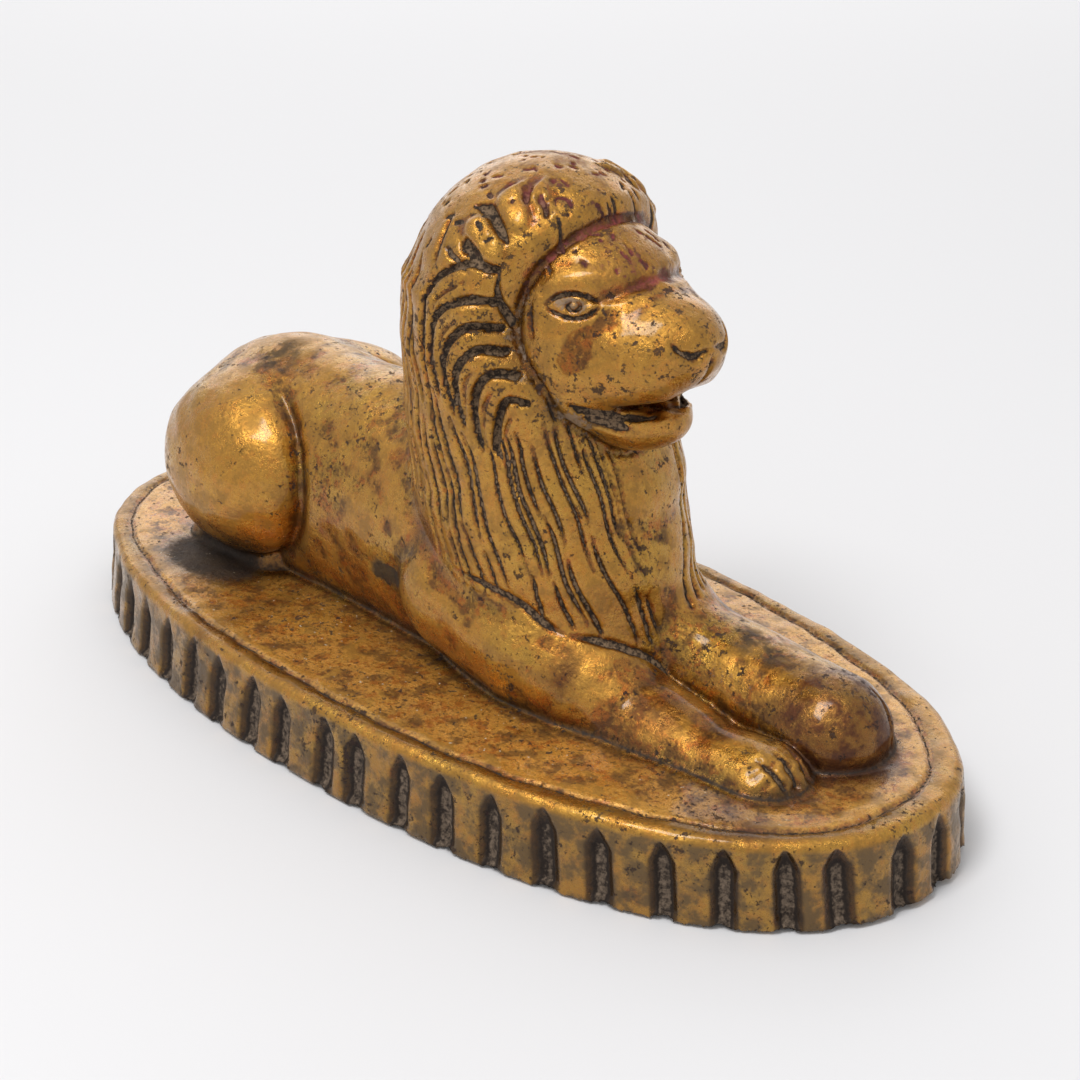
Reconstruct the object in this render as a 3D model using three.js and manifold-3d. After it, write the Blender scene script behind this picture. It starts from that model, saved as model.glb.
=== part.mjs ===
// A small brass lion lying on an oval plinth with a notched edge, cast as one solid.
// Millimetres, +Z up, +X towards the nose. The origin is the middle of the plinth's underside.

import * as THREE from "three";
import { mergeVertices } from "three/addons/utils/BufferGeometryUtils.js";
import Module from "manifold-3d";

// Plinth
const PLINTH_LENGTH = 116;
const PLINTH_WIDTH = 54.5;
const PLINTH_HEIGHT = 9;
const OVAL_POWER = 2.2; // 2 is a true ellipse, more is squarer
const PLINTH_SIDES = 96;
const WALL_DRAFT = 1; // the wall leans in by this much from foot to rim
const RIM_ROUND = 0.8;
const RIM_WIDTH = 2.4;
const RIM_GROOVE_WIDTH = 1.1;
const RIM_GROOVE_DEPTH = 0.45;

// Gouged notches round the plinth's wall
const NOTCH_COUNT = 48;
const NOTCH_RADIUS = 1.5;
const NOTCH_DEPTH = 0.85;
const NOTCH_BELOW_RIM = 1.1;
const NOTCH_SIDES = 6;

// Figure. Its places and radii below are in hundredths of this length, about its height above the plinth.
const FIGURE_SCALE = 51.8;
const SINK = 4; // how far the figure's forms run down into the plinth

// Mane: locks cut between ridges
const LOCK_DEPTH = 2.1;
const LOCK_COUNT = 24; // long locks round the back, from one side of the face to the other
const LOCK_WAVE = 0.045; // sideways wander of a lock, in radians
const LOCK_DROOP = 0.3; // fall of the locks that start beside the face, in radians
const SIDE_LOCK_REACH = 0.5; // how far those run back from the face, in radians
const SIDE_LOCK_ROWS = 3; // rows of the skin from one of those to the next
const FACE_COLUMNS = 22;
const FACE_BEARING = THREE.MathUtils.degToRad(66);

const { PI, sin, cos, abs, hypot, sign, sqrt, min, max } = Math;
const { lerp, clamp, smoothstep, degToRad } = THREE.MathUtils;

// Distance fields: each form is a function of a point, below zero inside the metal.

const length = (x, y, z) => sqrt(x * x + y * y + z * z);

function ellipsoid([cx, cy, cz], [rx, ry, rz]) {
  const least = min(rx, ry, rz);
  return (x, y, z) => {
    const [u, v, w] = [(x - cx) / rx, (y - cy) / ry, (z - cz) / rz];
    const reach = length(u, v, w);
    const slope = length(u / rx, v / ry, w / rz);
    return slope < 1e-9 ? -least : (reach * (reach - 1)) / slope;
  };
}

function limb([ax, ay, az], [bx, by, bz], radiusA, radiusB) {
  const [dx, dy, dz] = [bx - ax, by - ay, bz - az];
  const square = dx * dx + dy * dy + dz * dz;
  return (x, y, z) => {
    const [fx, fy, fz] = [x - ax, y - ay, z - az];
    const t = clamp((fx * dx + fy * dy + fz * dz) / square, 0, 1);
    return length(fx - t * dx, fy - t * dy, fz - t * dz) - lerp(radiusA, radiusB, t);
  };
}

function chain(knots) {
  const bones = knots.slice(1).map((knot, i) => limb(knots[i].at, knot.at, knots[i].r, knot.r));
  return (x, y, z) => bones.reduce((least, bone) => min(least, bone(x, y, z)), Infinity);
}

// An upright form with an oval section, read from rows of height, back, front and half width.
function column(rows) {
  const foot = rows[0][0];
  const head = rows.at(-1)[0];
  return (x, y, z) => {
    const level = clamp(z, foot, head);
    const i = max(rows.findIndex((row) => row[0] >= level), 1);
    const [low, high] = [rows[i - 1], rows[i]];
    const t = smoothstep(level, low[0], high[0]);
    const back = lerp(low[1], high[1], t);
    const front = lerp(low[2], high[2], t);
    const half = lerp(low[3], high[3], t);
    const depth = (front - back) / 2;
    const inPlan = (length((x - back - depth) / depth, y / half, 0) - 1) * min(depth, half);
    return max(inPlan, z - head, foot - z);
  };
}

function blend(k, ...forms) {
  return (x, y, z) =>
    forms.reduce((a, form) => {
      const b = form(x, y, z);
      const h = max(k - abs(a - b), 0);
      return min(a, b) - (h * h) / (4 * k);
    }, FAR);
}

function carve(k, form, cutter) {
  return (x, y, z) => {
    const a = form(x, y, z);
    const b = -cutter(x, y, z);
    const h = max(k - abs(a - b), 0);
    return max(a, b) + (h * h) / (4 * k);
  };
}

const mirror = (form) => (x, y, z) => form(x, abs(y), z);

// Head and mane
const CROWN = [16.5, 0, 74.5];
const HAIRLINE = 31;
const JAW_HAIR = 6; // how much further forward the mane comes beside the jaw
const maneColumn = column([
  [-6, -4, 49, 19],
  [10, -6, 50, 22.5],
  [24, -9, 48.5, 25],
  [38, -11, 45, 26],
  [52, -12, 41, 26],
  [66, -11, 42, 26],
  [76, -9, 42, 24],
]);
const crown = ellipsoid(CROWN, [27, 25.5, 27]);
// The hair stops in a step at the face, above the throat.
const faceOpening = (x, y, z) => {
  const besideJaw = JAW_HAIR * (1 - smoothstep(z, 61, 75));
  const lean = HAIRLINE + besideJaw + 0.006 * (z - 74) ** 2 - 0.012 * y ** 2;
  return max(lean - x, 49 - z + 0.3 * (46 - x));
};
const hair = carve(3, blend(8, maneColumn, crown), faceOpening);

const skull = ellipsoid([27, 0, 75.5], [20.5, 18, 17.5]);
const cheeks = mirror(ellipsoid([31, 8.5, 66], [13, 9, 12]));
const muzzle = blend(
  4,
  ellipsoid([40.5, 0, 72], [16.8, 14.5, 10.2]),
  mirror(ellipsoid([42.5, 6, 67.5], [10.5, 8, 6])),
  ellipsoid([49, 0, 74], [9, 8, 6.6]),
);
const jaw = ellipsoid([40, 0, 57], [11.5, 9.5, 6.4]);
const mouth = ellipsoid([53, 0, 61.6], [13.5, 13, 2]);
const browCrease = limb([45, -12, 82.6], [45, 12, 82.6], 1.4, 1.4);
const eyeSocket = mirror(ellipsoid([37.4, 15.2, 80.8], [5.4, 2.4, 2]));
const eyeball = mirror(ellipsoid([37.2, 13.6, 80.8], [1.7, 1.5, 1.1]));
const headFlesh = blend(5, blend(3, skull, muzzle), cheeks, jaw);
const faceCut = carve(1.2, carve(1.5, headFlesh, mouth), browCrease);
const face = blend(0.6, carve(0.8, faceCut, eyeSocket), eyeball);
const headAndMane = blend(1.2, hair, face);

// Trunk and limbs, drawn for the +Y side and mirrored
const barrel = blend(
  10,
  ellipsoid([-58, 0, 17], [32, 21, 29]),
  ellipsoid([-25, 0, 18], [38, 21, 28.5]),
  ellipsoid([4, 0, 18], [30, 22, 29]),
);
const thigh = ellipsoid([-58.8, 14, 20.5], [25, 17, 20]);
const hindFoot = chain([
  { at: [-72, 14, 0], r: 7 },
  { at: [-52, 15, -1], r: 6 },
]);
const foreleg = (rows) => rows.map(([x, y, z, r]) => ({ at: [x, y, z], r }));
const rightForeleg = foreleg([
  [8, -12, 14, 15],
  [28, -12, 9.5, 15],
  [40, -11, 3.5, 12.8],
  [50, -10.2, -1.4, 11],
  [70, -9.8, -4.6, 10],
  [82, -9.2, -3.6, 9.6],
]);
const leftForeleg = foreleg([
  [8, 11.5, 15, 14],
  [26, 11, 8.5, 12.5],
  [48, 10, 4.5, 11.5],
  [70, 9.6, 3, 11.5],
  [83, 8.8, 2, 12],
]);
// The tail lies round the far haunch, on the plinth.
const TAIL_RADIUS = 3.6;
const tailLine = [
  [-80, 0, 8],
  [-86, 10, 2],
  [-76, 25, 0],
  [-52, 33, 0],
  [-30, 32, 0],
  [-16, 28, 0],
];

// Skins: rays are sent in from outside to each form, from stations along its middle.

const UNIT = FIGURE_SCALE / 100;
const REACH = 90;
const TOUCH = 0.02;
const BISECTIONS = 10;
const FAR = 1e6;

function skinRadius(form, from, ray) {
  const at = (t) => form(from[0] + ray[0] * t, from[1] + ray[1] * t, from[2] + ray[2] * t);
  let outside = REACH;
  let inside = 0;
  for (let t = REACH; t > 0; ) {
    const gap = at(t);
    if (gap < TOUCH) {
      inside = t;
      break;
    }
    outside = t;
    t -= max(gap * 0.8, TOUCH);
  }
  for (let i = 0; i < BISECTIONS; i++) {
    const middle = (outside + inside) / 2;
    if (at(middle) > 0) outside = middle;
    else inside = middle;
  }
  return inside;
}

// Rows run from the first pole to the last; each station is a point on the axis and the tilt of its rays.
function wrap({ axis, across, stations, bearings, form, droop = () => 0, relief = () => 0 }) {
  const along = new THREE.Vector3(...axis);
  const side = new THREE.Vector3(...across);
  const third = new THREE.Vector3().crossVectors(along, side);
  const points = [];
  const place = (from, ray, cut) => {
    const r = skinRadius(form, from, ray.toArray()) - cut;
    points.push(...[0, 1, 2].map((i) => (from[i] + ray.getComponent(i) * r) * UNIT));
  };
  place(stations[0].from, along.clone().negate(), 0);
  stations.forEach((station, row) =>
    bearings(row).forEach((bearing, col) => {
      const tilt = station.tilt + droop(station, bearing);
      const ray = new THREE.Vector3()
        .addScaledVector(side, cos(bearing) * cos(tilt))
        .addScaledVector(third, sin(bearing) * cos(tilt))
        .addScaledVector(along, sin(tilt));
      place(station.from, ray, relief(station, bearing, col, row));
    }),
  );
  place(stations.at(-1).from, along, 0);
  const cols = bearings(0).length;
  const last = points.length / 3 - 1;
  const index = [];
  const id = (row, col) => 1 + row * cols + (col % cols);
  for (let col = 0; col < cols; col++) {
    index.push(0, id(0, col + 1), id(0, col));
    index.push(last, id(stations.length - 1, col), id(stations.length - 1, col + 1));
    for (let row = 0; row + 1 < stations.length; row++) {
      const [a, b] = [id(row, col), id(row, col + 1)];
      const [c, d] = [id(row + 1, col), id(row + 1, col + 1)];
      index.push(a, b, d, a, d, c);
    }
  }
  const geometry = new THREE.BufferGeometry();
  geometry.setAttribute("position", new THREE.Float32BufferAttribute(points, 3));
  return geometry.setIndex(index).translate(0, 0, PLINTH_HEIGHT);
}

const evenBearings = (count) => {
  const list = Array.from({ length: count }, (_, i) => (2 * PI * i) / count);
  return () => list;
};

// Stations of a long form: a fan at its start, rings along it and a fan at its end.
function spindle(knots, rings, fan) {
  const tilts = Array.from({ length: fan }, (_, i) => degToRad(90 - (90 * (i + 1)) / (fan + 1)));
  const middle = Array.from({ length: rings + 1 }, (_, i) => {
    const place = (i / rings) * (knots.length - 1);
    const k = min(Math.floor(place), knots.length - 2);
    return { from: knots[k].map((v, n) => lerp(v, knots[k + 1][n], place - k)), tilt: 0 };
  });
  return [
    ...tilts.map((tilt) => ({ from: knots[0], tilt: -tilt })),
    ...middle,
    ...tilts.toReversed().map((tilt) => ({ from: knots.at(-1), tilt })),
  ];
}

const ahead = (bearing) => abs(bearing > PI ? bearing - 2 * PI : bearing);

// Columns are closer together on the face. Behind it there are two to each lock, a cut and a ridge.
const headBearings = (() => {
  const face = Array.from({ length: FACE_COLUMNS + 1 }, (_, i) =>
    lerp(-FACE_BEARING, FACE_BEARING, i / FACE_COLUMNS),
  );
  const step = (PI - FACE_BEARING) / LOCK_COUNT;
  const mane = Array.from({ length: 2 * LOCK_COUNT - 1 }, (_, i) => FACE_BEARING + step * (i + 1));
  return [...face, ...mane];
})();

function headAndManeSkin() {
  const lower = [-SINK, 5, 12, 18, 24, 30, 36, 41.5, 46.5];
  const faceRows = Array.from({ length: 17 }, (_, i) => 50.2 + 2 * i);
  const heights = [...lower, ...faceRows];
  const fan = [10, 20, 31, 42, 53, 65, 77].map(degToRad);
  const from = (z) => [lerp(19, 22, smoothstep(z, 30, 60)), 0, z];
  const stations = [
    ...heights.map((z) => ({ from: from(z), tilt: 0 })),
    ...fan.map((tilt) => ({ from: from(heights.at(-1)), tilt })),
  ];
  const behind = (bearing) => smoothstep(ahead(bearing), FACE_BEARING, FACE_BEARING + 0.4);
  const bearings = (row) => headBearings.map((b) => b + behind(b) * LOCK_WAVE * sin(row * 0.9 + 3 * b));
  const droop = ({ from }, bearing) => -LOCK_DROOP * behind(bearing) * smoothstep(from[2], 10, 50);
  // Beside the face the locks run back along the rows; elsewhere they hang down the columns.
  const relief = ({ from, tilt }, bearing, col, row) => {
    const z = from[2];
    const inMane = col > FACE_COLUMNS;
    const besideFace = inMane && z > 50 && z < 84 && ahead(bearing) < FACE_BEARING + SIDE_LOCK_REACH;
    const onChest = !inMane && z < 47 && ahead(bearing) > 0.35;
    const hanging = (inMane && (col - FACE_COLUMNS) % 2 === 0) || (onChest && col % 2 === 0);
    const cut = besideFace ? row % SIDE_LOCK_ROWS > 0 : hanging;
    const fade = smoothstep(z, 8, 20) * (1 - 0.8 * smoothstep(tilt, 0.3, 1.2));
    return cut ? LOCK_DEPTH * fade : 0;
  };
  const skin = { stations, bearings, droop, relief, form: headAndMane };
  return wrap({ axis: [0, 0, 1], across: [1, 0, 0], ...skin });
}

function barrelSkin() {
  const stations = spindle([[-62, 0, 12], [6, 0, 14]], 7, 4);
  return wrap({ axis: [1, 0, 0], across: [0, 1, 0], stations, bearings: evenBearings(24), form: barrel });
}

function thighSkin() {
  const stations = spindle([[-66, 14, 20.5], [-52, 14, 20.5]], 2, 4);
  return wrap({ axis: [1, 0, 0], across: [0, 1, 0], stations, bearings: evenBearings(22), form: thigh });
}

function hindFootSkin() {
  const stations = spindle([[-72, 14, 0], [-52, 15, -1]], 2, 2);
  return wrap({ axis: [1, 0, 0], across: [0, 1, 0], stations, bearings: evenBearings(10), form: hindFoot });
}

function forelegSkin(knots) {
  const stations = spindle(knots.map((knot) => knot.at), 8, 3);
  return wrap({ axis: [1, 0, 0], across: [0, 1, 0], stations, bearings: evenBearings(16), form: chain(knots) });
}

// The tail is a row of short drums along its own line.
function tailSkin() {
  const knots = tailLine.map(([x, y, z]) => new THREE.Vector3(x, y, z).multiplyScalar(UNIT));
  const section = new THREE.Shape().absarc(0, 0, TAIL_RADIUS * UNIT, 0, 2 * PI);
  const extrudePath = new THREE.CatmullRomCurve3(knots);
  const tail = new THREE.ExtrudeGeometry(section, { steps: 14, curveSegments: 5, extrudePath, bevelEnabled: false });
  return tail.translate(0, 0, PLINTH_HEIGHT);
}

// Plinth: rings of points round the oval, each set in from the foot by its own amount.

function ovalPoint(angle, inset) {
  const along = sign(cos(angle)) * abs(cos(angle)) ** (2 / OVAL_POWER);
  const across = sign(sin(angle)) * abs(sin(angle)) ** (2 / OVAL_POWER);
  return [(PLINTH_LENGTH / 2 - inset) * along, (PLINTH_WIDTH / 2 - inset) * across];
}

function plinthBlank() {
  const edge = WALL_DRAFT;
  const top = PLINTH_HEIGHT;
  const groove = edge + RIM_WIDTH;
  const rings = [
    [0, 0],
    [edge, top - RIM_ROUND],
    [edge + 0.3 * RIM_ROUND, top - 0.3 * RIM_ROUND],
    [edge + RIM_ROUND, top],
    [groove, top],
    [groove + RIM_GROOVE_WIDTH / 2, top - RIM_GROOVE_DEPTH],
    [groove + RIM_GROOVE_WIDTH, top],
  ];
  const points = [0, 0, 0];
  rings.forEach(([inset, z]) => {
    for (let i = 0; i < PLINTH_SIDES; i++) points.push(...ovalPoint((2 * PI * i) / PLINTH_SIDES, inset), z);
  });
  points.push(0, 0, top);
  const last = points.length / 3 - 1;
  const id = (ring, i) => 1 + ring * PLINTH_SIDES + (i % PLINTH_SIDES);
  const index = [];
  for (let i = 0; i < PLINTH_SIDES; i++) {
    index.push(0, id(0, i + 1), id(0, i));
    index.push(last, id(rings.length - 1, i), id(rings.length - 1, i + 1));
    for (let ring = 0; ring + 1 < rings.length; ring++) {
      const [a, b] = [id(ring, i), id(ring, i + 1)];
      const [c, d] = [id(ring + 1, i), id(ring + 1, i + 1)];
      index.push(a, b, d, a, d, c);
    }
  }
  const geometry = new THREE.BufferGeometry();
  geometry.setAttribute("position", new THREE.Float32BufferAttribute(points, 3));
  return geometry.setIndex(index);
}

// Places round the foot, an equal walk apart, each with the way out from the wall.
function notchPlaces() {
  const FINE = 2000;
  const line = Array.from({ length: FINE + 1 }, (_, i) => ovalPoint((2 * PI * i) / FINE, 0));
  const walked = [0];
  for (let i = 1; i <= FINE; i++)
    walked.push(walked[i - 1] + hypot(line[i][0] - line[i - 1][0], line[i][1] - line[i - 1][1]));
  return Array.from({ length: NOTCH_COUNT }, (_, n) => {
    const target = ((n + 0.5) / NOTCH_COUNT) * walked[FINE];
    const i = walked.findIndex((w) => w >= target);
    const [dx, dy] = [line[i][0] - line[i - 1][0], line[i][1] - line[i - 1][1]];
    const span = hypot(dx, dy);
    return { x: line[i][0], y: line[i][1], outX: dy / span, outY: -dx / span };
  });
}

// A leaf-shaped gouge, pointed near the rim and open at the foot.
function notchCutter({ x, y, outX, outY }) {
  const height = PLINTH_HEIGHT - NOTCH_BELOW_RIM;
  const profile = [
    [0, -1],
    [NOTCH_RADIUS * 0.85, -1],
    [NOTCH_RADIUS, height * 0.45],
    [NOTCH_RADIUS * 0.6, height * 0.8],
    [0, height + 0.6],
  ].map(([r, z]) => new THREE.Vector2(r, z));
  const cutter = new THREE.LatheGeometry(profile, NOTCH_SIDES, 0);
  const stand = NOTCH_RADIUS - NOTCH_DEPTH;
  const lean = Math.atan2(WALL_DRAFT, PLINTH_HEIGHT);
  cutter.rotateX(PI / 2);
  cutter.rotateY(-lean);
  cutter.rotateZ(Math.atan2(outY, outX));
  return cutter.translate(x + outX * stand, y + outY * stand, 0);
}

// Solids: closed skins are joined and cut by manifold-3d.

const wasm = await Module();
wasm.setup();

function toSolid(geometry) {
  geometry.deleteAttribute("normal");
  geometry.deleteAttribute("uv");
  const merged = mergeVertices(geometry, 1e-4);
  return new wasm.Manifold(
    new wasm.Mesh({
      numProp: 3,
      vertProperties: merged.attributes.position.array,
      triVerts: new Uint32Array(merged.index.array),
    }),
  );
}

function toGeometry(solid) {
  const { vertProperties, triVerts } = solid.getMesh();
  const geometry = new THREE.BufferGeometry();
  geometry.setAttribute("position", new THREE.BufferAttribute(vertProperties, 3));
  geometry.setIndex(new THREE.BufferAttribute(triVerts, 1));
  geometry.computeVertexNormals();
  return geometry;
}

const mirrored = (solid) => solid.mirror([0, 1, 0]);

let casting = toSolid(plinthBlank());
for (const place of notchPlaces()) casting = casting.subtract(toSolid(notchCutter(place)));

const leftThigh = toSolid(thighSkin());
const leftHindFoot = toSolid(hindFootSkin());
const forms = [
  toSolid(barrelSkin()),
  leftThigh,
  mirrored(leftThigh),
  leftHindFoot,
  mirrored(leftHindFoot),
  toSolid(forelegSkin(rightForeleg)),
  toSolid(forelegSkin(leftForeleg)),
  toSolid(tailSkin()),
  toSolid(headAndManeSkin()),
];
for (const form of forms) casting = casting.add(form);

const brass = new THREE.MeshStandardMaterial({ color: 0xa9812f, roughness: 0.38, metalness: 1 });
const lion = new THREE.Mesh(toGeometry(casting), brass);
lion.name = "lion_and_plinth";

const group = new THREE.Group();
group.add(lion);

export default group;
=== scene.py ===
"""A small solid brass lion on an oval plinth, hand cast, chiselled, handled and gone dark in the cuts."""

import math

import bpy
import numpy as np
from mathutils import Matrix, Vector


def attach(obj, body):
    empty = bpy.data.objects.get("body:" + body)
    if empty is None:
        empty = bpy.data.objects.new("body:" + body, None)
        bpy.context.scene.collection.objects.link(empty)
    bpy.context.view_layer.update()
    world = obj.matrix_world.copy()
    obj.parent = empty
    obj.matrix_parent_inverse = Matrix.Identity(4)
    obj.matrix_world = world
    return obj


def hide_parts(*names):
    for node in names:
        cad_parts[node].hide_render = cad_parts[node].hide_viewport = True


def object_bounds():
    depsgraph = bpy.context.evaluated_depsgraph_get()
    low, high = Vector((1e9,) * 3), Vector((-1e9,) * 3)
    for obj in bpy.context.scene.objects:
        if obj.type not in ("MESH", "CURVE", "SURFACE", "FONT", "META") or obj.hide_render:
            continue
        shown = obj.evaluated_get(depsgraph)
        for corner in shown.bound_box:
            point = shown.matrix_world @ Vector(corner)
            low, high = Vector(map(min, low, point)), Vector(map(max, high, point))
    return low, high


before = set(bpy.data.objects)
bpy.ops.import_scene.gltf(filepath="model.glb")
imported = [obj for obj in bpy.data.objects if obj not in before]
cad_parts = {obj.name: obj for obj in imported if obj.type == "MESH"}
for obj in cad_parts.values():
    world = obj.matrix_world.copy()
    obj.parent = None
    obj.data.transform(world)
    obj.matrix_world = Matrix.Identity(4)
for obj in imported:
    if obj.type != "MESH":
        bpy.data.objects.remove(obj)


def written_box():
    low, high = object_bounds()
    return [list(map(float, low)), list(map(float, high))]


frame_box = written_box()

# Real sizes, in millimetres
MM = 0.001
PLINTH_LENGTH = (frame_box[1][0] - frame_box[0][0]) / MM
PLINTH_WIDTH = (frame_box[1][1] - frame_box[0][1]) / MM
PLINTH_HEIGHT = 9.0
WALL_DRAFT = 1.0
OVAL_POWER = 2.2
RIM_ROUND = 0.6
NOTCH_COUNT = 48
FIGURE_SCALE = 51.8
UNIT = FIGURE_SCALE / 100  # the figure's places and radii are in hundredths of this length
STRAND_SPACING = 1.08
STRAND_CLEAR = 0.66  # least distance between two strand cuts that run side by side
STRAND_DEEPEST = 0.5
NOTCH_DEPTH = 0.85  # about the depth of a plinth notch
RIM_LINE_INSET = 3.35  # scribed line on the plinth's top, in from its foot line
RIM_LINE_DEPTH = 0.34

COARSE_GRAIN = 0.5  # edge of the mesh when the forms are first settled
FINE_GRAIN = 0.25  # edge of the casting's mesh before it is thinned
SETTLE_ROUNDS = 3
SETTLE_REACH = 1.0  # furthest a point moves in one round
FLAT_BASE = 0.6  # height under which points keep their height
FILLET = 0.9  # round between the figure and its plinth
FACE_BUDGET = 197000
TAPER = 0.25  # share of a cut's length over which it runs out

rng = np.random.default_rng(7)


# Forms of the figure, as distance fields over arrays of points


def ellipsoid(p, centre, radii):
    q = (p - centre) / radii
    reach = np.linalg.norm(q, axis=1)
    slope = np.linalg.norm(q / radii, axis=1)
    return reach * (reach - 1) / np.maximum(slope, 1e-9)


def limb(p, a, b, radius_a, radius_b):
    a, along = np.array(a, float), np.subtract(b, a).astype(float)
    t = np.clip((p - a) @ along / (along @ along), 0, 1)
    return np.linalg.norm(p - a - t[:, None] * along, axis=1) - (radius_a + (radius_b - radius_a) * t)


def chain(p, knots):
    bones = [limb(p, a[:3], b[:3], a[3], b[3]) for a, b in zip(knots, knots[1:])]
    return np.min(bones, axis=0)


def smoothstep(x, low, high):
    t = np.clip((x - low) / (high - low), 0, 1)
    return t * t * (3 - 2 * t)


def column(p, rows):
    """An upright form with an oval section, from rows of height, back, front and half width."""
    rows = np.array(rows, float)
    level = np.clip(p[:, 2], rows[0, 0], rows[-1, 0])
    i = np.clip(np.searchsorted(rows[:, 0], level), 1, len(rows) - 1)
    low, high = rows[i - 1], rows[i]
    t = np.clip((level - low[:, 0]) / (high[:, 0] - low[:, 0]), 0, 1)
    t = (t * t * (3 - 2 * t))[:, None]
    _, back, front, half = (low + (high - low) * t).T
    depth = (front - back) / 2
    plan = (np.hypot((p[:, 0] - back - depth) / depth, p[:, 1] / half) - 1) * np.minimum(depth, half)
    return np.maximum(plan, p[:, 2] - rows[-1, 0])


def blend(k, *fields):
    result = fields[0]
    for field in fields[1:]:
        h = np.maximum(k - np.abs(result - field), 0)
        result = np.minimum(result, field) - h * h / (4 * k)
    return result


def carve(k, field, cutter):
    h = np.maximum(k - np.abs(field + cutter), 0)
    return np.maximum(field, -cutter) + h * h / (4 * k)


MANE_ROWS = [
    (-6, -4, 49, 19),
    (10, -6, 50, 22.5),
    (24, -9, 48.5, 25),
    (38, -11, 45, 26),
    (52, -12, 41, 26),
    (66, -11, 42, 26),
    (76, -9, 42, 24),
]
HAIRLINE = 31
JAW_HAIR = 6
RIGHT_FORELEG = [
    (8, -12, 14, 15),
    (28, -12, 9.5, 15),
    (40, -11, 3.5, 12.8),
    (50, -10.2, -1.4, 11),
    (70, -9.8, -4.6, 10),
    (82, -9.2, -3.6, 9.6),
]
LEFT_FORELEG = [
    (8, 11.5, 15, 14),
    (26, 11, 8.5, 12.5),
    (48, 10, 4.5, 11.5),
    (70, 9.6, 3, 11.5),
    (83, 8.8, 2, 12),
]
TAIL = [
    (-80, 0, 8, 4),
    (-86, 10, 2, 3.7),
    (-76, 25, 0, 3.6),
    (-52, 33, 0, 3.6),
    (-30, 32, 0, 4.2),
    (-16, 28, 0, 3.4),
]


def face_opening(p):
    beside_jaw = JAW_HAIR * (1 - smoothstep(p[:, 2], 61, 75))
    lean = HAIRLINE + beside_jaw + 0.006 * (p[:, 2] - 74) ** 2 - 0.012 * p[:, 1] ** 2
    return np.maximum(lean - p[:, 0], 49 - p[:, 2] + 0.3 * (46 - p[:, 0]))


def hair(p):
    crown = ellipsoid(p, (16.5, 0, 74.5), (27, 25.5, 27))
    return carve(3, blend(8, column(p, MANE_ROWS), crown), face_opening(p))


def flesh(p):
    """The face without its cuts. Both sides are alike, so places are on the +Y side."""
    m = np.column_stack([p[:, 0], np.abs(p[:, 1]), p[:, 2]])
    skull = ellipsoid(p, (27, 0, 75.5), (20.5, 18, 17.5))
    cheeks = ellipsoid(m, (31, 8.5, 66), (13, 9, 12))
    snout = ellipsoid(p, (40.5, 0, 72), (16.8, 14.5, 10.2))
    lips = ellipsoid(m, (42.5, 6, 67.5), (10.5, 8, 6))
    nose = ellipsoid(p, (49, 0, 74), (9, 8, 6.6))
    jaw = ellipsoid(p, (40, 0, 57), (11.5, 9.5, 6.4))
    return blend(5, blend(3, skull, blend(4, snout, lips, nose)), cheeks, jaw)


def face(p):
    return carve(1.5, flesh(p), ellipsoid(p, (53, 0, 61.6), (13.5, 13, 2)))


def trunk(p):
    m = np.column_stack([p[:, 0], np.abs(p[:, 1]), p[:, 2]])
    barrel = blend(
        10,
        ellipsoid(p, (-58, 0, 17), (32, 21, 29)),
        ellipsoid(p, (-25, 0, 18), (38, 21, 28.5)),
        ellipsoid(p, (4, 0, 18), (30, 22, 29)),
    )
    thighs = ellipsoid(m, (-58.8, 14, 20.5), (25, 17, 20))
    hind_feet = chain(m, [(-72, 14, 0, 7), (-52, 15, -1, 6)])
    # The haunch runs smoothly into the rump above, and is undercut where it meets the flank in front.
    rise = smoothstep(p[:, 2] - 0.6 * (p[:, 0] + 58), 24, 44)
    haunch = blend(0.8 + 5 * rise, barrel, thighs)
    undercut = 1.4 * np.exp(-(((barrel - thighs) / 1.6) ** 2)) * (1 - rise) * smoothstep(p[:, 0], -66, -50)
    return blend(1.5, haunch + undercut, hind_feet, chain(p, TAIL))


def forelegs(p):
    return blend(0.8, chain(p, RIGHT_FORELEG), chain(p, LEFT_FORELEG))


def figure(p):
    hair_gap, face_gap = hair(p), face(p)
    seam = (0.7 + 0.3 * np.sin(0.8 * p[:, 2])) * np.exp(-(((hair_gap - face_gap) / 0.8) ** 2))
    head = np.minimum(hair_gap, face_gap) + seam
    # The chest flows into the left foreleg.
    soft = 2 + 7 * smoothstep(p[:, 0], 34, 46) * smoothstep(p[:, 1], -6, 3)
    return blend(soft, blend(1.5, trunk(p), forelegs(p)), head)


def oval_inset(x, y):
    """How far a point lies inside the plinth's foot line, in millimetres."""
    a, b = PLINTH_LENGTH / 2, PLINTH_WIDTH / 2
    u, v = np.abs(x) / a, np.abs(y) / b
    level = np.maximum(u**OVAL_POWER + v**OVAL_POWER, 1e-12)
    reach = level ** (1 / OVAL_POWER)
    slope = np.hypot(u ** (OVAL_POWER - 1) / a, v ** (OVAL_POWER - 1) / b) * reach / level
    return (1 - reach) / np.maximum(slope, 1e-9)


def plinth(mm):
    # The hand-filed oval is a little fuller at its front left corner.
    fuller = 0.8 * smoothstep(mm[:, 0], 22, 50) * smoothstep(mm[:, 1], -14, 8)
    wall = WALL_DRAFT * np.clip(mm[:, 2] / PLINTH_HEIGHT, 0, 1) - oval_inset(mm[:, 0], mm[:, 1]) - fuller
    top = mm[:, 2] - PLINTH_HEIGHT
    k = RIM_ROUND * 2
    h = np.maximum(k - np.abs(wall - top), 0)
    return np.maximum(np.maximum(wall, top) + h * h / (4 * k), -mm[:, 2])


def casting(mm):
    p = (mm - (0, 0, PLINTH_HEIGHT)) / UNIT
    return blend(FILLET, figure(p) * UNIT, plinth(mm))


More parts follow.
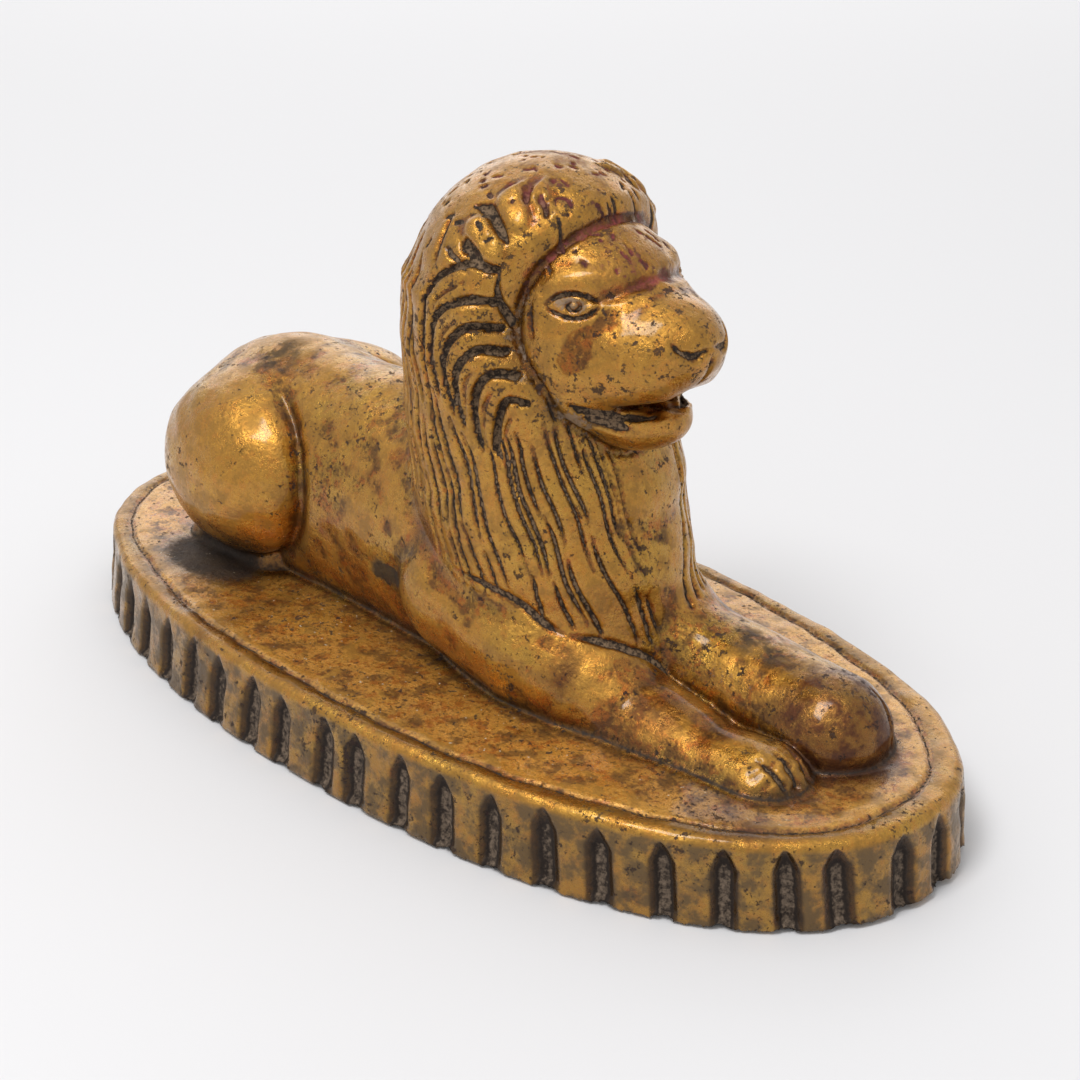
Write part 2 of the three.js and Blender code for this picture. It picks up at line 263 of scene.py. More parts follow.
def slope_of(field, mm, step=0.02):
    base = field(mm)
    gradient = np.empty_like(mm)
    for axis in range(3):
        moved = mm.copy()
        moved[:, axis] += step
        gradient[:, axis] = (field(moved) - base) / step
    return base, gradient


def settle(mm, field, rounds, reach):
    """Walks points onto the field's surface along its slope."""
    for _ in range(rounds):
        gap, gradient = slope_of(field, mm)
        size = np.maximum(np.sum(gradient * gradient, axis=1), 0.05)
        mm = mm - gradient * np.clip(gap / size, -reach, reach)[:, None]
    return mm


# Mesh helpers


def choose_only(piece):
    bpy.ops.object.select_all(action="DESELECT")
    piece.select_set(True)
    bpy.context.view_layer.objects.active = piece


def finish_modifier(piece, kind, **settings):
    choose_only(piece)
    modifier = piece.modifiers.new(kind.lower(), kind)
    for name, value in settings.items():
        setattr(modifier, name, value)
    bpy.ops.object.modifier_apply(modifier=modifier.name)


def points_of(piece):
    flat = np.empty(len(piece.data.vertices) * 3, np.float32)
    piece.data.vertices.foreach_get("co", flat)
    return flat.reshape(-1, 3).astype(float)


def set_points(piece, points):
    piece.data.vertices.foreach_set("co", points.astype(np.float32).ravel())
    piece.data.update()


def mirrored(p):
    """Places brought to the +Y side, for what both sides have alike."""
    return np.column_stack([p[:, 0], np.abs(p[:, 1]), p[:, 2]])


def copy_of_casting():
    """The solid's own form, merged, ready to be worked finer."""
    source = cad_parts["lion_and_plinth"]
    piece = source.copy()
    piece.data = source.data.copy()
    piece.name = "brass_lion"
    bpy.context.scene.collection.objects.link(piece)
    choose_only(piece)
    bpy.ops.object.mode_set(mode="EDIT")
    bpy.ops.mesh.select_all(action="SELECT")
    bpy.ops.mesh.remove_doubles(threshold=0.005 * MM)
    bpy.ops.object.mode_set(mode="OBJECT")
    return piece


def waves(points, length, seed, count=9):
    """Smooth hand-made unevenness, about -1 to 1, with that wavelength."""
    wild = np.random.default_rng(seed)
    total = np.zeros(len(points))
    for _ in range(count):
        direction = wild.normal(size=points.shape[1])
        direction *= 2 * math.pi / (length * wild.uniform(0.7, 1.6)) / np.linalg.norm(direction)
        total += np.sin(points @ direction + wild.uniform(0, 2 * math.pi))
    return total / math.sqrt(count / 2) / 2


def smooth_line(knots, steps=6):
    """A rounder line through a few given points."""
    knots = np.array(knots, float)
    padded = np.vstack([2 * knots[0] - knots[1], knots, 2 * knots[-1] - knots[-2]])
    line = []
    for a, b, c, d in zip(padded, padded[1:], padded[2:], padded[3:]):
        for t in np.linspace(0, 1, steps, endpoint=False):
            bend = (2 * a - 5 * b + 4 * c - d) * t**2
            line.append(0.5 * (2 * b + (c - a) * t + bend + (3 * b - a - 3 * c + d) * t**3))
    return np.array(line + [knots[-1]])


def chiselled(places, cuts, steep=1.4):
    """Depth under each place of tapering cuts, each a line, its half width, its depth and its blunt end."""
    depth = np.zeros(len(places))
    for line, width, deep, blunt in cuts:
        near = np.all((places > line.min(0) - width) & (places < line.max(0) + width), axis=1)
        q = places[near]
        if len(q) == 0:
            continue
        best = np.zeros(len(q))
        run = np.linspace(0, 1, len(line))
        for a, b, start, end in zip(line, line[1:], run, run[1:]):
            along = b - a
            t = np.clip((q - a) @ along / max(along @ along, 1e-9), 0, 1)
            away = np.linalg.norm(q - a - t[:, None] * along, axis=1)
            place = start + (end - start) * t
            lead = np.clip(place / TAPER, 0, 1) if blunt != "start" else 1.0
            tail = np.clip((1 - place) / TAPER, 0, 1) if blunt != "end" else 1.0
            taper = np.sqrt(np.clip(lead * tail, 0.02, 1))
            wall = np.clip(steep * (1 - away / (width * taper)), 0, 1)
            best = np.maximum(best, deep * taper * wall * wall * (3 - 2 * wall))
        depth[near] = np.maximum(depth[near], best)
    return depth


# Mane. Places on it are a bearing round the head's axis, in degrees, and a height in units.

HEAD_AXIS = 21.0
MANE_RADIUS = 25.5
DEGREE = MANE_RADIUS * UNIT * math.pi / 180  # millimetres across for a degree of bearing

# Cuts between the thick locks beside the face: start bearing and height, furthest bearing, and height of
# the lower end
SIDE_LOCKS = [
    (81, 86, 112, 60),
    (79, 80, 106, 60),
    (79, 75, 99, 57),
    (76, 71, 94, 55),
    (69, 67, 86, 51),
    (64, 62, 77, 50),
]
# Cuts in the hair over the ear: bearings and heights, half width and depth in millimetres
EAR_CUTS = [
    ([(110, 95), (98, 94.8), (86, 92.8), (76, 90.5)], 0.6, 0.75),
    ([(104, 89.6), (96, 88.4), (86, 86.6)], 0.8, 0.85),
    ([(94, 99), (84, 98.4), (74, 96.4)], 0.6, 0.6),
    ([(70, 97.5), (62, 96.5), (56, 94.6)], 0.55, 0.4),
    ([(112, 88), (107, 87), (100, 86), (92, 84.5)], 0.45, 0.4),
    ([(121, 93), (117, 89), (114, 84)], 0.4, 0.35),
]
# Leaf-like tufts over the ear, standing up from the mane: bearings and heights, half width and rise
TUFTS = [
    ([(106, 92.4), (97, 91.6), (86, 89.6), (79, 88)], 1.5, 0.6),
    ([(100, 97.6), (90, 97), (78, 94.8), (69, 93.2)], 1.4, 0.5),
    ([(78, 98.5), (68, 97.6), (60, 95.6)], 1.2, 0.4),
]
FACE_EDGE = [(77, 88), (78, 82), (74, 77), (69, 73.5), (60, 71), (54, 66), (51, 61), (47, 56)]


def mane_places(p):
    bearing = np.degrees(np.arctan2(-p[:, 1], p[:, 0] - HEAD_AXIS))
    return np.column_stack([bearing * DEGREE, p[:, 2] * UNIT])


def mane_line(knots, side):
    return smooth_line([(side * bearing * DEGREE, height * UNIT) for bearing, height in knots])


# By bearing: the height at which the long strands begin, below the thick locks, the chin or the crown, the
# height at which they end, and the degrees by which a strand swings forward for a unit of fall
STRAND_TOPS = [(0, 48), (15, 52), (35, 57), (50, 60), (70, 54), (95, 58), (112, 64), (125, 84), (180, 88)]
STRAND_FEET = [(0, 15), (12, 13), (26, 12), (41, 13), (60, 19), (98, 22), (122, 26), (180, 38)]
STRAND_DRIFTS = [(0, 0.2), (20, 0.45), (45, 0.85), (85, 0.85), (115, 0.45), (140, 0.0)]


def by_bearing(table, bearing):
    bearings, values = zip(*table)
    return np.interp(abs(bearing), bearings, values)


def clear_of(strand, laid):
    """True for a strand that doesn't run along one already cut."""
    for other in laid:
        gaps = np.linalg.norm(strand[:, None] - other[None], axis=2).min(axis=1)
        if np.mean(gaps < STRAND_CLEAR) > 0.3:
            return False
    return True


def lock_cuts(side):
    """The thick locks beside the face, the hair over the ear, and the line where hair meets face."""
    cuts = []
    for bearing, height, far, foot in SIDE_LOCKS:
        knots = [
            (bearing - 2, height),
            (bearing + 0.45 * (far - bearing), height + 0.4),
            (far - 2.5, height - 3.5),
            (far, height - 9),
            (far - 1, (height - 9 + foot) / 2),
            (far - 3.5, foot),
        ]
        cuts.append((mane_line(knots, side), 0.56, 0.8, "start"))
        # A fine line down the middle of the lock below
        inner = [(b - 0.16 * (b - bearing) - 1, z - 2.6) for b, z in knots[1:5]]
        cuts.append((mane_line(inner, side), 0.3, 0.26, ""))
    for knots, width, deep in EAR_CUTS:
        cuts.append((mane_line(knots, side), width, deep, ""))
    return cuts + [(mane_line(FACE_EDGE, side), 0.6, 0.6, "")]


def strand_cuts(side):
    """Long strands in staggered tapering cuts. The chest in front is left plain."""
    cuts, laid = [], []
    spacing = STRAND_SPACING / DEGREE
    for start in np.arange(23 if side > 0 else 40, 180, spacing):
        start = start + rng.uniform(-0.1, 0.1) * spacing
        drift = by_bearing(STRAND_DRIFTS, start)
        height = by_bearing(STRAND_TOPS, start) + rng.uniform(-3, 4)
        bearing = start
        while True:
            foot = by_bearing(STRAND_FEET, bearing)
            end = height - rng.uniform(15, 32)
            if end < foot + 5:
                end = foot + rng.uniform(-2, 2)
            turn = 0.09 * start + rng.uniform(-0.5, 0.5)
            knots = []
            for level in np.linspace(height, end, 6):
                wander = 1.1 * math.sin(level / 3.2 + turn) + rng.uniform(-0.25, 0.25)
                knots.append((bearing - drift * (height - level) + wander, level))
            deep = rng.uniform(0.34, STRAND_DEEPEST) * (0.7 if start < 30 else 1)
            strand = mane_line(knots, side)
            if clear_of(strand, laid):
                laid.append(strand)
                cuts.append((strand, rng.uniform(0.32, 0.4), deep, ""))
            bearing = knots[-1][0] - 1.1 * math.sin(end / 3.2 + turn) + rng.uniform(-0.6, 0.6)
            height = end + rng.uniform(-1.5, 2.5)
            if height <= foot + 6 or bearing < 10:
                break
    return cuts


def mane_cuts():
    return [cut for side in (1, -1) for cut in lock_cuts(side) + strand_cuts(side)]


def crown_nicks():
    """Short dents left by a punch on the crown, in the plane seen from above."""
    nicks = []
    for _ in range(200):
        x, y = rng.uniform(-8, 46), rng.uniform(-22, 22)
        turn = rng.normal(0.2, 0.5)
        half = rng.uniform(0.15, 0.75)
        step = np.array([math.cos(turn), math.sin(turn)]) * half
        middle = np.array([x, y]) * UNIT
        nicks.append((np.array([middle - step, middle, middle + step]), rng.uniform(0.2, 0.34), 0.18, ""))
    return nicks


# Cuts on the face and limbs: points in units, half width and depth in millimetres, and whether both sides
# have it. In turn: eye above, eye below, pupil, nostril, nostril's dent, under the nose, lips,
# under the lip, temple, and the mane's hem over the shoulders and between the forelegs.
FACE_CUTS = [
    (
        [(32, 15.9, 79.8), (34.3, 14.9, 81.8), (36.8, 13.7, 82.7), (39.4, 12.4, 82.4), (41.7, 11.2, 81.5)],
        0.38, 0.5, True,
    ),
    (
        [(32, 15.9, 79.8), (34.8, 15.6, 78.9), (38.2, 14.6, 78.5), (40.4, 12.8, 79.6), (41.7, 11.2, 81.5)],
        0.34, 0.42, True,
    ),
    (
        [(37.4, 14, 81.5), (38.5, 13.6, 80.9), (38.1, 14, 79.9), (36.9, 14.6, 79.8), (36.4, 14.6, 80.8)]
        + [(37.4, 14, 81.5)],
        0.3, 0.4, True,
    ),
    ([(54.6, 7.4, 77), (55.6, 6.6, 75), (56.9, 5, 73.8), (58, 2.7, 74), (58.4, 0, 74.6)], 0.45, 0.4, True),
    ([(56.2, 5.8, 74.6), (57.2, 4.2, 73.4), (58, 2.4, 73.6)], 0.6, 0.45, True),
    ([(58, 0, 73.5), (57, 0, 70), (54.5, 0, 66)], 0.35, 0.3, False),
    ([(37.6, 15.6, 62), (40, 14, 60.7), (43, 11.2, 60.2), (46.5, 7, 60), (49, 3, 60.4)], 0.9, 0.85, True),
    ([(39.5, 14.4, 58.6), (43, 11.6, 57.8), (46.5, 8, 57.6)], 1.0, 0.5, True),
    ([(29.5, 17, 81.5), (30, 17.6, 77), (31, 18, 73)], 0.35, 0.3, True),
    (
        [(15.8, 23.3, 24.8), (24, 23.6, 24), (31.9, 22.4, 21.8), (36, 20, 18.4), (39, 17.1, 15.2)],
        0.7, 0.4, True,
    ),
    ([(39, -17.1, 15.2), (44.8, -12.5, 13.9), (48.7, -6.2, 8.2), (54, -2, 5)], 0.7, 0.4, False),
]
# Wide shallow hollows, too soft to hold dirt: across the root of the muzzle, and down its side
SOFT_HOLLOWS = [
    (
        [(38, 12.4, 80.6), (41.4, 9.8, 82), (43.2, 6, 83.2), (44.2, 2.5, 83.8), (44.4, 0, 83.9)],
        1.25, 0.62, True,
    ),
    ([(42.5, 9.6, 82.2), (41.6, 12.5, 77.8), (39.6, 15.6, 73.4), (38.5, 16.4, 69)], 2.4, 0.4, True),
]
# Ridges over the eyes, with their height in place of a depth
BROWS = [([(31.5, 16, 83.6), (35, 14.8, 85.6), (39, 12, 86), (42, 8.5, 85.6)], 1.7, 0.34, True)]
TOE_CUTS = [
    [(83, -13.2, 6), (88.5, -12.6, 3), (91, -12, -1)],
    [(84, -9.2, 7.5), (90, -9.2, 3), (92, -9, -1)],
    [(83, -5.2, 6), (88.5, -5.6, 3), (91, -6, -1)],
    [(87, 12.8, 10), (92, 13, 5), (94, 12.6, -1)],
]


def settled_line(knots, side=1):
    line = smooth_line([(x * UNIT, side * y * UNIT, z * UNIT + PLINTH_HEIGHT) for x, y, z in knots])
    return settle(line, casting, SETTLE_ROUNDS + 1, SETTLE_REACH)


def both_sides(cuts):
    """Cuts laid on the metal; a single one keeps its own side, the others are on the two sides alike."""
    sides = [(cut, side) for cut in cuts for side in ((-1, 1) if cut[3] else (1,))]
    return [(settled_line(knots, side), width, deep, "") for (knots, width, deep, _), side in sides]


def face_and_toe_cuts():
    return both_sides(FACE_CUTS) + [(settled_line(knots), 0.45, 0.4, "end") for knots in TOE_CUTS]


# Plinth: places on its wall are a walk round the foot and a height, in millimetres


def walk_round(mm):
    across = np.sign(mm[:, 1]) * (np.abs(mm[:, 1]) / (PLINTH_WIDTH / 2)) ** (OVAL_POWER / 2)
    forward = np.sign(mm[:, 0]) * (np.abs(mm[:, 0]) / (PLINTH_LENGTH / 2)) ** (OVAL_POWER / 2)
    turn = np.mod(np.arctan2(across, forward), 2 * math.pi)
    fine = np.linspace(0, 2 * math.pi, 4001)
    x = PLINTH_LENGTH / 2 * np.sign(np.cos(fine)) * np.abs(np.cos(fine)) ** (2 / OVAL_POWER)
    y = PLINTH_WIDTH / 2 * np.sign(np.sin(fine)) * np.abs(np.sin(fine)) ** (2 / OVAL_POWER)
    walked = np.concatenate([[0], np.cumsum(np.hypot(np.diff(x), np.diff(y)))])
    return np.interp(turn, fine, walked), walked[-1]


def notch_cuts(round_foot):
    pitch = round_foot / NOTCH_COUNT
    cuts = []
    for number in range(NOTCH_COUNT):
        middle = (number + 0.5 + rng.uniform(-0.09, 0.09)) * pitch
        lean = rng.uniform(-0.35, 0.35)
        top = PLINTH_HEIGHT - rng.uniform(0.6, 1.3)
        line = np.array([(middle + lean * (1 - t), top + (-1.5 - top) * t) for t in np.linspace(0, 1, 5)])
        cuts.append((line, rng.uniform(1.65, 2.05), rng.uniform(0.8, 1.0), "end"))
    return cuts


def settle_mesh(piece):
    """Remeshes the piece finer and settles it on the casting's forms. The underside keeps its height."""
    for grain in (COARSE_GRAIN, FINE_GRAIN):
        finish_modifier(piece, "REMESH", mode="VOXEL", voxel_size=grain * MM, adaptivity=0)
        mm = points_of(piece) / MM
        base = mm[:, 2] < FLAT_BASE
        moved = settle(mm, casting, SETTLE_ROUNDS, SETTLE_REACH)
        moved[base, 2] = mm[base, 2]
        set_points(piece, moved * MM)


def unevenness(mm, p):
    """The hand's waviness all over, the rough paw, hints of teeth, and the sunk eyes with their pupils."""
    uneven = 0.12 * waves(mm, 9, 11) + 0.06 * waves(mm, 3.2, 12)
    rough_paw = 0.2 * spot(p, (86, -10, 3), (9, 9, 9), 0.6) * waves(mm, 1.5, 21)
    teeth = 0.22 * spot(p, (46, 0, 60.5), (9, 12, 3.5)) * waves(mm, 1.4, 22)
    both = mirrored(p)
    eyes = 0.2 * spot(both, (37.5, 14, 80.7), (1.2, 1.5, 1.1), 0.8)
    eyes = eyes - 0.16 * spot(both, (37, 14, 80.7), (4.6, 3, 1.8), 0.5)
    return uneven + rough_paw + teeth + eyes


def chisel(piece):
    """Cuts the carving into the settled mesh, and returns the marks left on each vertex."""
    mm = points_of(piece) / MM
    p = (mm - (0, 0, PLINTH_HEIGHT)) / UNIT
    _, out = slope_of(casting, mm)
    out /= np.maximum(np.linalg.norm(out, axis=1, keepdims=True), 1e-6)

    hair_gap, flesh_gap = hair(p), face(p)
    body_gap = np.minimum(trunk(p), forelegs(p))
    plinth_gap = plinth(mm)
    figure_gap = np.minimum(np.minimum(hair_gap, flesh_gap), body_gap) * UNIT
    on_figure = smoothstep(plinth_gap - figure_gap, 0.0, 1.0)
    on_hair = smoothstep(np.minimum(flesh_gap, body_gap) - hair_gap, -0.4, 1.0) * on_figure
    on_plinth = 1 - on_figure

    depth = np.zeros(len(mm))
    places = mane_places(p)
    below_crown = 1 - smoothstep(p[:, 2], 96, 100)
    depth += chiselled(places, mane_cuts()) * on_hair * below_crown
    tufts = [(mane_line(knots, side), width, high, "") for side in (1, -1) for knots, width, high in TUFTS]
    raised = chiselled(places, tufts) * on_hair
    nicks = chiselled(p[:, :2] * UNIT, crown_nicks()) * on_figure * smoothstep(p[:, 2], 82, 88)
    depth = np.maximum(depth, nicks)
    small = chiselled(mm, face_and_toe_cuts()) * on_figure
    depth = np.maximum(depth, small)
    soft = chiselled(mm, both_sides(SOFT_HOLLOWS), 1.0) * on_figure
    raised = raised + chiselled(mm, both_sides(BROWS), 1.0) * on_figure * (1 - on_hair)

    walk, round_foot = walk_round(mm)
    inset = oval_inset(mm[:, 0], mm[:, 1])
    on_wall = (1 - smoothstep(inset, 2.0, 2.6)) * on_plinth
    notches = chiselled(np.column_stack([walk, mm[:, 2]]), notch_cuts(round_foot), 1.15) * on_wall
    depth += notches
    line = RIM_LINE_INSET + 0.22 * waves(mm[:, :2], 16, 3) + 0.12 * waves(mm[:, :2], 5, 4)
    on_top = on_plinth * (mm[:, 2] > PLINTH_HEIGHT - 1)
    depth += RIM_LINE_DEPTH * np.clip(1 - np.abs(inset - line) / 0.5, 0, 1) * on_top

    standing = smoothstep(mm[:, 2], 0.1, 1.2)
    lift = (unevenness(mm, p) - soft + raised - depth) * standing
    set_points(piece, (mm + out * lift[:, None]) * MM)
    return {
        "cut": np.maximum(smoothstep(depth - notches, 0.15, 0.38), 0.8 * smoothstep(nicks, 0.02, 0.1)),
        "notch": np.clip(notches / NOTCH_DEPTH, 0, 1),
        "wall": on_wall * (1 - smoothstep(mm[:, 2], PLINTH_HEIGHT - 1.2, PLINTH_HEIGHT - 0.6)),
    }


def keep_marks(piece, marks):
    for name, values in marks.items():
        layer = piece.data.attributes.get(name) or piece.data.attributes.new(name, "FLOAT", "POINT")
        layer.data.foreach_set("value", np.clip(values, 0, 1).astype(np.float32))


def mark_of(piece, name):
    values = np.empty(len(piece.data.vertices), np.float32)
    piece.data.attributes[name].data.foreach_get("value", values)
    return values.astype(float)


def relaxed(points, edges, rounds):
    """Each point at the mean of itself and its neighbours, so many times over."""
    count = np.bincount(edges.ravel(), minlength=len(points))[:, None] + 1.0
    for _ in range(rounds):
        total = points.copy()
        for axis in range(points.shape[1]):
            total[:, axis] += np.bincount(edges[:, 0], points[edges[:, 1], axis], len(points))
            total[:, axis] += np.bincount(edges[:, 1], points[edges[:, 0], axis], len(points))
        points = total / count
    return points


def dips(piece):
    """How far each point lies under or over its smoothed self, near by and more widely."""
    mesh = piece.data
    points = points_of(piece) / MM
    edges = np.empty(len(mesh.edges) * 2, np.int32)
    mesh.edges.foreach_get("vertices", edges)
    edges = edges.reshape(-1, 2)
    normals = np.empty(len(mesh.vertices) * 3, np.float32)
    mesh.vertices.foreach_get("normal", normals)
    normals = normals.reshape(-1, 3)
    near = np.sum((relaxed(points, edges, 5) - points) * normals, axis=1)
    wide = np.sum((relaxed(points, edges, 30) - points) * normals, axis=1)
    lift = relaxed(np.column_stack([near, wide]), edges, 1)
    return lift[:, 0], lift[:, 1]


def spot(p, centre, radii, softness=0.5):
    return 1 - smoothstep(np.linalg.norm((p - centre) / radii, axis=1), 1 - softness, 1)


def powder_and_lime(p, ragged, foot, cut):
    """Pink powder in the hairline, the brow crease and the crown's dents, and pale wax beside the face,
    in the eyes and mouth, between the forelegs and at the paws."""
    edge = np.abs(hair(p) - face(p))
    hairline = np.clip(1.35 - edge / 1.5 - 0.7 * ragged, 0, 1)
    below_brow = 1 - smoothstep(p[:, 2], 78, 86)
    beside_face = np.clip(1.6 - edge / 3.2 - 0.9 * ragged, 0, 1) * below_brow * smoothstep(p[:, 2], 50, 60)
    brow = spot(p, (44.6, 0, 83.8), (2.2, 10, 1.5), 0.9)
    forehead = spot(p, (42, -2, 90), (12, 16, 12)) * 0.5
    crown = spot(p, (22, -2, 100), (20, 18, 8)) * 0.4
    powder = 1.1 * hairline * smoothstep(p[:, 2], 80, 88) + 0.4 * brow + 1.5 * forehead + 1.6 * crown
    mouth = spot(mirrored(p), (40, 13.5, 59.5), (6, 5, 4))
    eyes = spot(mirrored(p), (37, 14, 80.7), (5, 4, 2.2))
    paws = foot * smoothstep(p[:, 0] + 0.8 * p[:, 1], 70, 86)
    between_legs = spot(p, (64, 0, 11), (20, 4, 6), 0.7)
    lime = 0.7 * mouth + 0.9 * eyes + 0.75 * beside_face + 0.4 * paws + 0.45 * between_legs
    return powder, lime * (1 - 0.9 * cut), beside_face


def red_and_black(p):
    """Red oxide on the far paw and beside the near one, and black tarnish on back, belly and forelegs."""
    red = 2.4 * spot(p, (88, 6, 6), (18, 15, 15), 0.7) + 1.2 * spot(p, (42, -19, 8), (5, 8, 9), 0.8)
    red = red + spot(p, (62, -12, 4), (6, 9, 9), 0.8) + 0.8 * spot(p, (88, -26, 0), (14, 9, 3), 0.8)
    back, belly = spot(p, (-58, -6, 42), (9, 9, 8), 0.6), spot(p, (-7.2, -22, 14.2), (5.8, 7, 3.9), 0.5)
    seam, far_leg = spot(p, (60, -6, 12), (6, 6, 6), 0.6), spot(p, (66, 8, 15), (16, 7, 6), 0.8)
    return red, 0.9 * back + 3 * belly + 0.8 * seam + 0.85 * far_leg


def grime_and_shade_places(p, ragged, body_gap, foot):
    """Dirt and painted shade round the figure's foot, painted shade wider along the belly and in the
    flank's fold, and a painted shadow under the haunch.
    """
    outside = np.maximum(body_gap, 0)
    # Painted shade along the figure's foot, the belly and the flank's fold, and a painted shadow under each
    # haunch.
    shade_by_foot = np.exp(-outside / 1.3) * (1 - smoothstep(p[:, 2], 0.5, 4))
    painted_shadow_under_haunch = spot(p, (-62, -25, 0), (24, 14, 9), 0.6) + spot(p, (-62, 25, 0), (24, 14, 9), 0.6)
    shade_in_flank_fold = np.exp(-((p[:, 0] + 36) / 3) ** 2) * (1 - smoothstep(p[:, 2], 16, 34))
    shade_in_flank_fold = shade_in_flank_fold * smoothstep(np.abs(p[:, 1]), 10, 16)
    shade_along_belly = smoothstep(p[:, 0], -60, -45) * (1 - smoothstep(p[:, 0], 0, 14)) * (0.55 + 0.45 * ragged)
    shade_along_belly = shade_along_belly * np.exp(-outside / 2.5) * (1 - smoothstep(p[:, 2], 1, 5))
    return [foot, 0.8 * shade_by_foot, 0.85 * shade_along_belly, painted_shadow_under_haunch, 0.5 * shade_in_flank_fold]


def stains(piece):
    """Marks where dirt, powder, wax, oxide and tarnish lie, and where shade, a shadow and highlights are
    painted, from the piece's own places.
    """
    mm = points_of(piece) / MM
    p = (mm - (0, 0, PLINTH_HEIGHT)) / UNIT
    near, wide = dips(piece)
    muzzle_side = spot(mirrored(p), (39.5, 15, 74), (8, 7, 9))
    ragged = 0.5 + 0.5 * waves(mm, 2.2, 31) + 0.3 * waves(mm, 0.9, 32)
    body_gap = figure(p) * UNIT
    foot = np.clip(1 - np.abs(body_gap - plinth(mm)) / 0.8, 0, 1)
    powder, lime, beside_face = powder_and_lime(p, ragged, foot, mark_of(piece, "cut"))
    red, black = red_and_black(p)
    top = (1 - smoothstep(np.abs(mm[:, 2] - PLINTH_HEIGHT), 0.3, 0.8)) * smoothstep(body_gap, 0.3, 1.5)
    inset = oval_inset(mm[:, 0], mm[:, 1])
    inside_rim = top * np.exp(-(((inset - 2.7) / 0.8) ** 2)) * (0.55 + 0.45 * ragged)
    # Besides real dirt beside the face and inside the rim, this mark carries painted shade round the
    # figure's foot and a painted shadow under the haunch.
    grime_and_shade = grime_and_shade_places(p, ragged, body_gap, foot) + [0.5 * beside_face, 0.7 * inside_rim]
    new_marks = {
        # Concave places get brown tarnish together with painted shade.
        "hollow_tarnish_and_shade": np.clip(near / 0.08 + wide / 0.6, 0, 1) * (1 - 0.75 * muzzle_side),
        # Convex places get worn gold together with a painted highlight.
        "wear_and_highlight": np.clip(-near / 0.035 - wide / 0.3, 0, 1),
        "powder": powder,
        "lime": lime,
        "red": red,
        "black": black,
        "head": np.clip(1 - np.minimum(hair(p), face(p)), 0, 1) * smoothstep(p[:, 2], 50, 68),
        "grime_and_shade": np.maximum.reduce(grime_and_shade),
        "top": top * smoothstep(inset, 2.6, 4.2),
    }
    keep_marks(piece, new_marks)


# Materials


def rgb(code):
    """Linear colour of an sRGB hex value."""
    parts = [int(code[i : i + 2], 16) / 255 for i in (1, 3, 5)]
    return [c / 12.92 if c <= 0.04045 else ((c + 0.055) / 1.055) ** 2.4 for c in parts] + [1.0]


def add(tree, kind, inputs=None, **settings):
    node = tree.nodes.new(kind)
    for name, value in settings.items():
        setattr(node, name, value)
    for name, value in (inputs or {}).items():
        socket = node.inputs[name]
        if isinstance(value, bpy.types.NodeSocket):
            tree.links.new(value, socket)
        else:
            socket.default_value = value
    return node


def empty_material(name):
    material = bpy.data.materials.new(name)
    material.use_nodes = True
    material.node_tree.nodes.clear()
    return material, material.node_tree


def close_material(tree, shader):
    add(tree, "ShaderNodeOutputMaterial", {"Surface": shader.outputs["BSDF"]})


def per_mm(wavelength):
    """Scale of a pattern that repeats about every so many millimetres."""
    return 1 / (wavelength * MM)


